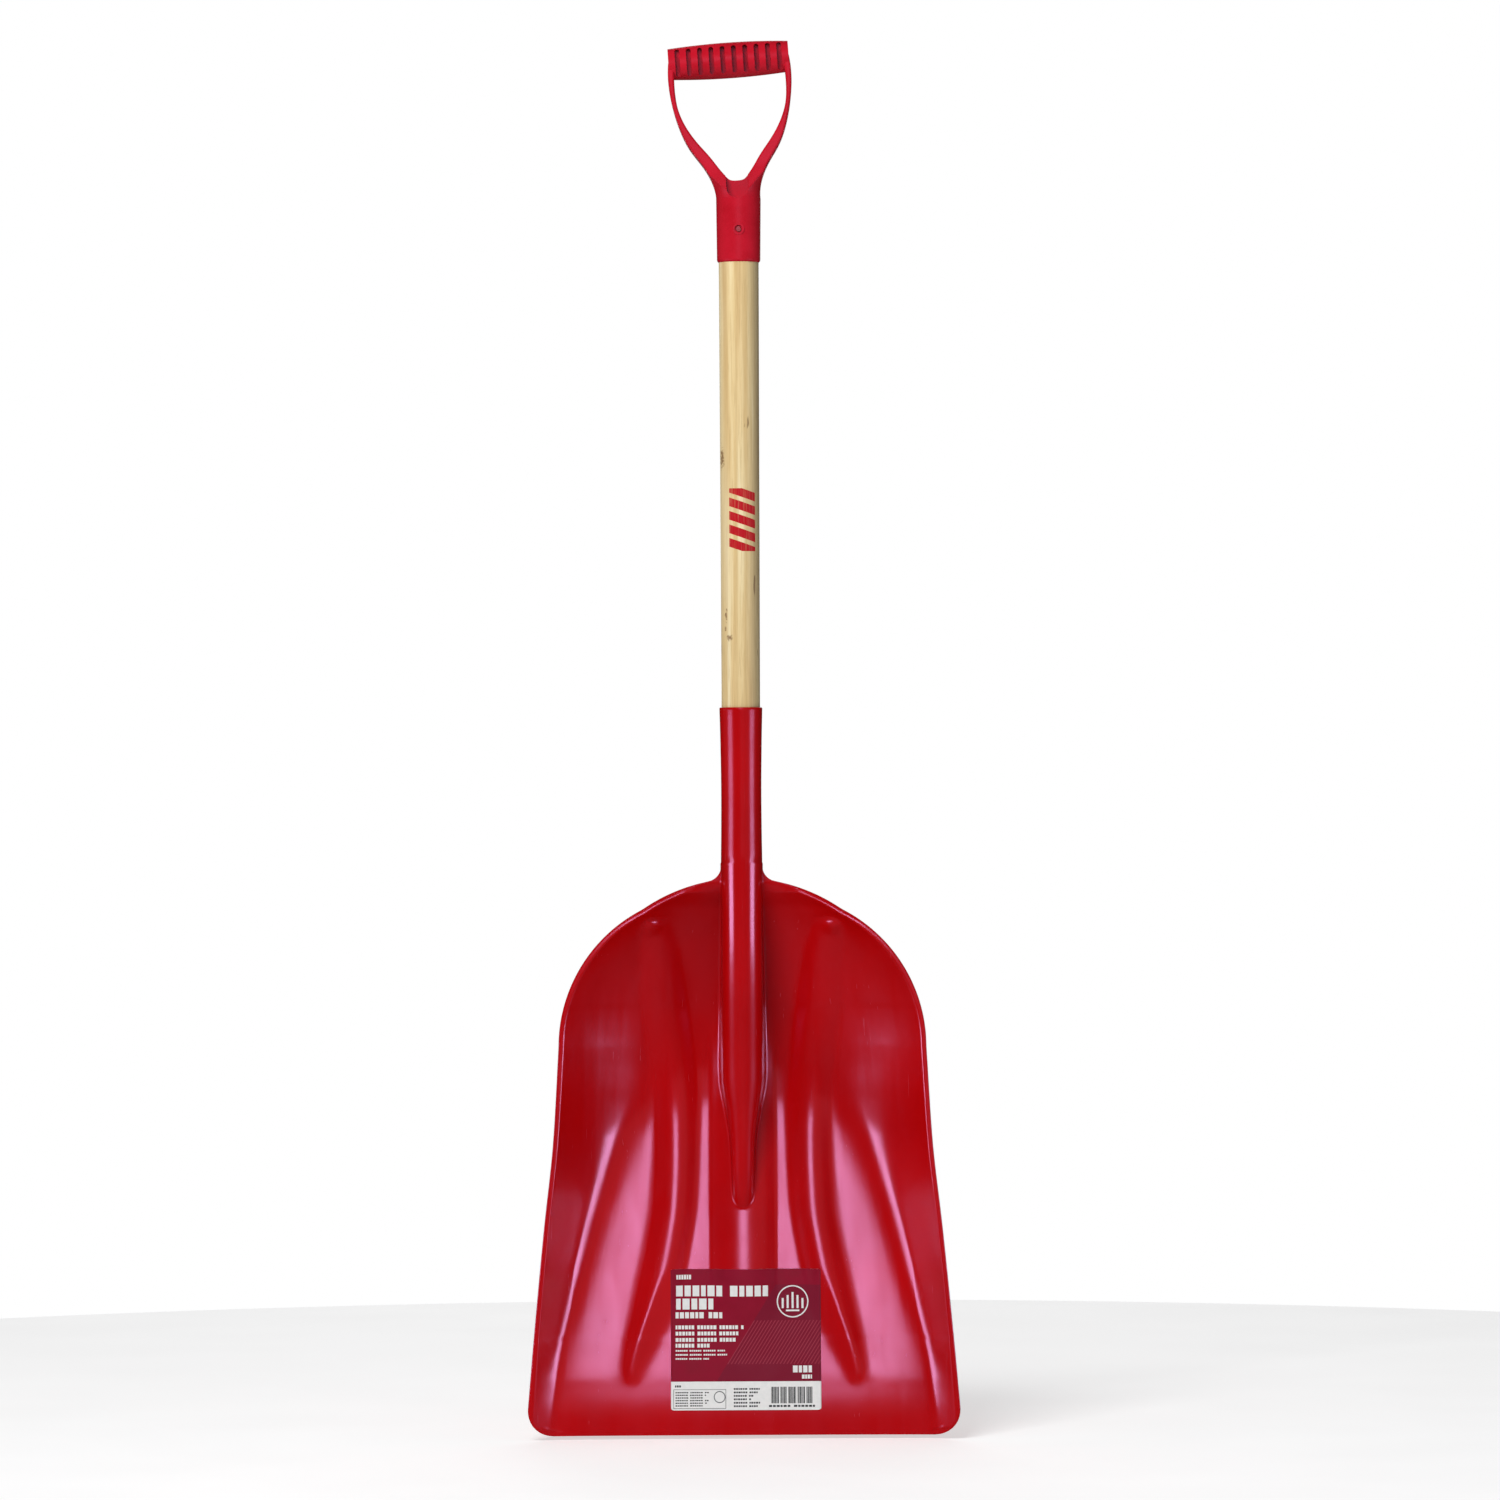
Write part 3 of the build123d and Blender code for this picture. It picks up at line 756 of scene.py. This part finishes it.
def gloss_plastic():
    """Bright red injection-moulded poly, glossy, with faint flow marks and light scuffs."""
    m = Shader("gloss_red_poly")
    cloud = m.noise(m.place, 9, 4)
    flow = m.noise(m.stretch((60, 60, 5)), 1.0, 4, 0.6, 0.6)
    colour = m.ramp(cloud, [(0.3, (0.44, 0.0006, 0.0010)), (0.7, (0.52, 0.0010, 0.0016))])
    scuff_lines = m.noise(m.stretch((420, 420, 14)), 1.0, 2, 0.7)
    scuff_where = m.noise(m.place, 26, 3)
    scuffed = m.spread(scuff_where, 0, 1, 0.5, 0.62)
    scuffs = m.maths("MULTIPLY", m.spread(scuff_lines, 0, 1, 0.66, 0.72), scuffed)
    colour = m.mix(m.maths("MULTIPLY", scuffs, 0.12), colour, (0.5, 0.06, 0.07))
    rough = m.maths("ADD", m.spread(flow, 0.17, 0.235), m.maths("MULTIPLY", scuffs, 0.12))
    peel = m.noise(m.place, 520, 2)
    waves = m.noise(m.place, 34, 3)
    normal = m.bump(waves, 0.00025, 0.5)
    normal = m.bump(peel, 0.00002, 0.35, normal)
    m.join(Base_Color=colour, Roughness=rough, Normal=normal)
    m.set(IOR=1.5, Specular_IOR_Level=0.62, Specular_Tint=(1.0, 0.58, 0.88, 1))
    return m.material


def matte_plastic():
    """Crimson grip plastic with a fine moulded grain."""
    m = Shader("matte_crimson_poly")
    cloud = m.noise(m.place, 40, 4)
    colour = m.ramp(cloud, [(0.3, (0.45, 0.004, 0.013)), (0.7, (0.56, 0.007, 0.022))])
    speckle = m.noise(m.place, 1500, 2)
    colour = m.mix(m.spread(speckle, 0, 0.25, 0.5, 0.75), colour, (0.66, 0.03, 0.06))
    grain = m.noise(m.place, 900, 3, 0.6)
    m.join(
        Base_Color=colour,
        Roughness=m.spread(cloud, 0.34, 0.46),
        Normal=m.bump(grain, 0.00005, 0.4),
    )
    m.set(IOR=1.5, Specular_IOR_Level=0.2, Specular_Tint=(1.0, 0.5, 0.64, 1))
    return m.material


def wood():
    """Pale lacquered hardwood with long grain, brown flecks, a red ink mark and painted shade down its
    right side.
    """
    m = Shader("pale_hardwood")
    long_grain = m.stretch((1, 1, 0.035))
    rings = m.add("ShaderNodeTexWave", wave_type="BANDS", bands_direction="X")
    rings.inputs["Scale"].default_value = 38
    rings.inputs["Distortion"].default_value = 5.5
    rings.inputs["Detail"].default_value = 3
    rings.inputs["Detail Scale"].default_value = 1.4
    m.link(long_grain, rings.inputs["Vector"])
    fibres = m.noise(long_grain, 950, 4, 0.65)
    streaks = m.noise(long_grain, 120, 5, 0.6, 0.3)
    cloud = m.noise(m.stretch((1, 1, 0.15)), 24, 3)
    colour = m.ramp(streaks, [
        (0.26, (0.60, 0.39, 0.16)),
        (0.46, (0.80, 0.60, 0.30)),
        (0.58, (0.86, 0.69, 0.38)),
        (0.74, (0.92, 0.79, 0.50)),
    ])
    colour = m.mix(m.spread(rings.outputs["Fac"], 0, 0.42, 0.5, 0.95), colour, (0.62, 0.41, 0.17))
    colour = m.mix(m.spread(fibres, 0, 0.42, 0.50, 0.70), colour, (0.52, 0.33, 0.13))
    colour = m.mix(m.spread(cloud, 0, 0.40, 0.48, 0.72), colour, (0.93, 0.82, 0.56))
    flecks = m.noise(m.stretch((1, 1, 0.22), (0.31, 0, 0.07)), 150, 2, 0.5)
    colour = m.mix(m.spread(flecks, 0, 0.85, 0.72, 0.765), colour, (0.22, 0.10, 0.03))
    axes = m.add("ShaderNodeSeparateXYZ")
    m.link(m.place, axes.inputs[0])
    # painted shade: the shaft's right side goes over to a grey-brown, a little less where the grain streaks
    # are pale
    shade_share = m.spread(axes.outputs[0], 0, 0.62, 0.0065, 0.0165)
    painted_shade = m.maths("MULTIPLY", shade_share, m.spread(streaks, 1, 0.7, 0.4, 0.7))
    colour = m.mix(painted_shade, colour, (0.34, 0.29, 0.18))
    ragged = m.maths("MULTIPLY", m.maths("SUBTRACT", m.noise(m.place, 420, 3), 0.5), 3.2)
    for fleck_x, fleck_h, half_x, half_h in wood_flecks:
        across = m.maths("DIVIDE", m.maths("SUBTRACT", axes.outputs[0], fleck_x * MM), half_x * MM)
        fleck_z = (fleck_h - hang_height) * MM
        along = m.maths("DIVIDE", m.maths("SUBTRACT", axes.outputs[2], fleck_z), half_h * MM)
        reach = m.maths("ADD", m.maths("POWER", across, 2), m.maths("POWER", along, 2))
        reach = m.maths("ADD", m.maths("SQRT", reach), ragged)
        facing = m.maths("LESS_THAN", axes.outputs[1], 0)
        fleck = m.maths("MULTIPLY", m.spread(reach, 0.8, 0, 0.4, 1.2), facing)
        colour = m.mix(fleck, colour, (0.20, 0.09, 0.03))
    ink = ink_mark(m)
    worn = m.spread(fibres, 1.0, 0.72, 0.5, 0.8)
    colour = m.mix(m.maths("MULTIPLY", ink, worn), colour, (0.52, 0.004, 0.012))
    m.join(
        Base_Color=colour,
        Roughness=m.spread(fibres, 0.34, 0.52),
        Normal=m.bump(fibres, 0.00012, 0.6),
    )
    m.set(IOR=1.5, Specular_IOR_Level=0.2)
    return m.material


def ink_mark(m):
    """Mask of the generic mark: a column of short bars on the front of the shaft."""
    axes = m.add("ShaderNodeSeparateXYZ")
    m.link(m.place, axes.inputs[0])
    x, y, z = axes.outputs
    across = m.maths("ABSOLUTE", m.maths("SUBTRACT", x, mark_centre_x * MM))
    slant = m.maths("MULTIPLY", m.maths("SUBTRACT", x, mark_centre_x * MM), mark_slant)
    low = (mark_low_h - hang_height) * MM
    length = (mark_high_h - mark_low_h) * MM
    pitch = length / (mark_bars - 1 + mark_bar_share)
    up = m.maths("SUBTRACT", z, low)
    inside = m.maths("MULTIPLY", m.maths("GREATER_THAN", up, 0), m.maths("LESS_THAN", up, length))
    leaning = m.maths("DIVIDE", m.maths("ADD", up, slant), pitch)
    bar = m.maths("LESS_THAN", m.maths("FRACT", leaning), mark_bar_share)
    narrow = m.maths("LESS_THAN", across, mark_half_width * MM)
    front = m.maths("LESS_THAN", y, 0)
    return m.maths("MULTIPLY", m.maths("MULTIPLY", inside, bar), m.maths("MULTIPLY", narrow, front))


def label_place(m):
    """Distances across and down from the label's top left corner, in millimetres."""
    axes = m.add("ShaderNodeSeparateXYZ")
    m.link(m.place, axes.inputs[0])
    left = label_centre_x - label_width / 2
    u = m.maths("SUBTRACT", m.maths("MULTIPLY", axes.outputs[0], 1 / MM), left)
    v = m.maths("SUBTRACT", label_high_h - hang_height, m.maths("MULTIPLY", axes.outputs[2], 1 / MM))
    return u, v


def ring_mask(m, u, v, centre_u, centre_v, inner, outer):
    """1 between two circles, else 0."""
    across = m.maths("POWER", m.maths("SUBTRACT", u, centre_u), 2)
    down = m.maths("POWER", m.maths("SUBTRACT", v, centre_v), 2)
    reach = m.maths("SQRT", m.maths("ADD", across, down))
    return m.maths("MULTIPLY", m.maths("GREATER_THAN", reach, inner), m.maths("LESS_THAN", reach, outer))


def label_print():
    """Crimson field of the label, with a darker slanted panel, fine hatching and a round badge."""
    m = Shader("label_crimson")
    u, v = label_place(m)
    cloud = m.noise(m.place, 60, 3)
    field = m.ramp(cloud, [(0.3, (0.245, 0.0035, 0.020)), (0.7, (0.285, 0.0045, 0.026))])
    slant = m.maths("ADD", u, m.maths("MULTIPLY", v, 0.63))
    panel = m.maths("MULTIPLY", m.maths("GREATER_THAN", slant, 102.2), m.maths("GREATER_THAN", v, 13.9))
    colour = m.mix(panel, field, (0.205, 0.007, 0.026))
    line = m.maths("LESS_THAN", m.maths("FRACT", m.maths("DIVIDE", slant, 3.1)), 0.32)
    hatched = m.maths("MULTIPLY", m.maths("GREATER_THAN", v, 45), m.maths("LESS_THAN", v, 83))
    hatch = m.maths("MULTIPLY", hatched, line)
    colour = m.mix(m.maths("MULTIPLY", m.maths("MULTIPLY", panel, hatch), 0.55), colour, (0.42, 0.05, 0.08))
    colour = m.mix(ring_mask(m, u, v, badge_u, badge_v, *badge_ring), colour, (0.80, 0.82, 0.81))
    m.join(Base_Color=colour, Roughness=m.spread(cloud, 0.42, 0.52), Normal=m.bump(cloud, 0.0001, 0.2))
    m.set(IOR=1.45, Specular_IOR_Level=0.12)
    return m.material


def label_ink(name, low, high, ring=None):
    """A flat printed colour on coated paper, with an optional thin grey ring."""
    m = Shader(name)
    grain = m.noise(m.place, 300, 3)
    colour = m.ramp(grain, [(0.3, low), (0.7, high)])
    if ring is not None:
        u, v = label_place(m)
        colour = m.mix(ring_mask(m, u, v, *ring), colour, (0.12, 0.13, 0.14))
    m.join(Base_Color=colour, Roughness=m.spread(grain, 0.42, 0.54), Normal=m.bump(grain, 0.00005, 0.2))
    m.set(IOR=1.45, Specular_IOR_Level=0.12)
    return m.material


def painted_metal():
    """Rivet: steel painted dark red, chipped to metal here and there."""
    m = Shader("painted_rivet")
    cloud = m.noise(m.place, 700, 4)
    colour = m.ramp(cloud, [
        (0.3, (0.22, 0.004, 0.006)),
        (0.62, (0.34, 0.010, 0.016)),
        (0.74, (0.45, 0.2, 0.2)),
    ])
    m.join(Base_Color=colour, Roughness=m.spread(cloud, 0.3, 0.5), Normal=m.bump(cloud, 0.00005, 0.4))
    return m.material


def brushed_steel():
    """Zinc-plated screw head with turned marks."""
    m = Shader("plated_screw")
    cloud = m.noise(m.place, 900, 4)
    lines = m.noise(m.stretch((1, 1, 12)), 600, 2)
    colour = m.ramp(cloud, [(0.3, (0.52, 0.51, 0.47)), (0.7, (0.68, 0.67, 0.62))])
    m.join(Base_Color=colour, Roughness=m.spread(lines, 0.24, 0.42), Normal=m.bump(lines, 0.00002, 0.5))
    m.set(Metallic=1.0)
    return m.material


# ---- pieces --------------------------------------------------------------------------------

red = gloss_plastic()
blade = make_blade()
blade.data.materials.append(red)
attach(blade, "root")
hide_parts("scoop_blade")

label = make_label()
label.data.materials.append(label_print())
label.data.materials.append(label_ink("label_white_ink", (0.78, 0.80, 0.79), (0.84, 0.86, 0.85)))
label.data.materials.append(label_ink("label_grey_ink", (0.025, 0.027, 0.03), (0.05, 0.052, 0.055)))
label.data.materials.append(
    label_ink("label_paper", (0.80, 0.82, 0.81), (0.86, 0.87, 0.86), (43.2, 111.5, 4.4, 5.2)))
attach(label, "root")
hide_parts("pan_label")

node_materials = {
    "handle_shaft": wood(),
    "d_grip": matte_plastic(),
    "grip_rivet": painted_metal(),
    "socket_screw": brushed_steel(),
}
for node, material in node_materials.items():
    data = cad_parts[node].data
    data.materials.clear()
    data.materials.append(material)

# ---- studio --------------------------------------------------------------------------------

view_x = 0.0080
view_z = -0.6001
view_distance = 6.5
view_width = 1.3389
view_roll = 0.28            # degrees
floor_z = -1.2115
floor_radius = 1.6

camera = bpy.data.objects.new("camera", bpy.data.cameras.new("camera"))
camera.location = (view_x, -view_distance, view_z)
camera.rotation_euler = (radians(90), radians(view_roll), 0)
camera.data.lens = camera.data.sensor_width * view_distance / view_width
camera.data.clip_end = 50
bpy.context.scene.collection.objects.link(camera)
bpy.context.scene.camera = camera


def softbox(name, azimuth, distance, spread, low, high, strength, seen_by="both", tone=(1, 1, 1)):
    """An upright light that faces the handle, set by its azimuth and width in degrees and its z range."""
    width = 2 * distance * tan(radians(spread) / 2)
    light = bpy.data.lights.new(name, "AREA")
    light.shape = "RECTANGLE"
    light.size, light.size_y = width, high - low
    light.energy = strength * width * (high - low) * pi
    light.color = tone
    lamp = bpy.data.objects.new(name, light)
    turn = radians(azimuth)
    lamp.location = (distance * sin(turn), -distance * cos(turn), (low + high) / 2)
    lamp.rotation_euler = (radians(90), 0, turn)
    lamp.visible_camera = False
    lamp.visible_glossy = seen_by != "diffuse"
    lamp.visible_diffuse = seen_by != "glossy"
    bpy.context.scene.collection.objects.link(lamp)


# boxes that the gloss picks out: one high in front, and a low one at each side
cool = (1.0, 0.94, 1.22)
warm = (1.0, 0.72, 0.64)
softbox("front_box", 0, 3.0, 15, 0.22, 1.12, 8.8, "glossy", cool)
softbox("front_box_edge", 0, 3.0, 21, 0.12, 1.22, 0.8, "glossy", cool)
softbox("left_box", -63, 1.8, 24, -0.985, -0.70, 12.0, "glossy", cool)
softbox("right_box", 63, 1.8, 24, -0.985, -0.70, 12.0, "glossy", cool)
# dim upright strips for the tube, the shaft and the grip
softbox("left_strip", -97, 2.5, 24, -0.60, 0.7, 0.3, "glossy", warm)
softbox("middle_strip", 19, 2.5, 46, -0.7, 0.7, 0.35, "glossy", warm)
softbox("right_strip", 81, 2.5, 13, -0.60, 0.7, 0.1, "glossy", warm)
# broad light that shapes the colour
softbox("key", -20, 2.2, 30, 0.5, 1.9, 12.6, "diffuse")
softbox("back_key", 176, 3.0, 40, 0.0, 2.0, 1.2)
softbox("back_rim", -174, 3.0, 10, -0.9, 0.9, 0.8)

world = bpy.data.worlds.new("studio")
bpy.context.scene.world = world
world.use_nodes = True
links = world.node_tree.links
nodes = world.node_tree.nodes
background = nodes["Background"]
background.inputs["Color"].default_value = (1, 1, 1, 1)
path = nodes.new("ShaderNodeLightPath")
seen = nodes.new("ShaderNodeMapRange")
seen.inputs["To Min"].default_value = 0.26
seen.inputs["To Max"].default_value = 1.0
links.new(path.outputs["Is Camera Ray"], seen.inputs["Value"])
dim = nodes.new("ShaderNodeMath")
dim.operation = "MULTIPLY_ADD"
dim.inputs[1].default_value = -0.25
links.new(path.outputs["Is Glossy Ray"], dim.inputs[0])
links.new(seen.outputs["Result"], dim.inputs[2])
links.new(dim.outputs[0], background.inputs["Strength"])

floor_material = Shader("pale_floor")
floor_cloud = floor_material.noise(floor_material.place, 6, 3)
floor_material.join(
    Base_Color=floor_material.ramp(floor_cloud, [(0.3, (0.86, 0.86, 0.86)), (0.7, (0.90, 0.90, 0.90))]),
)
floor_material.set(Roughness=0.9, Emission_Color=(1, 1, 1, 1), Emission_Strength=0.42)
bpy.ops.mesh.primitive_circle_add(
    vertices=96, radius=floor_radius, fill_type="NGON", location=(0, 0, floor_z))
floor = bpy.context.object
floor.name = "floor"
floor.data.materials.append(floor_material.material)
floor.visible_glossy = False

bpy.context.scene.view_settings.view_transform = "Standard"
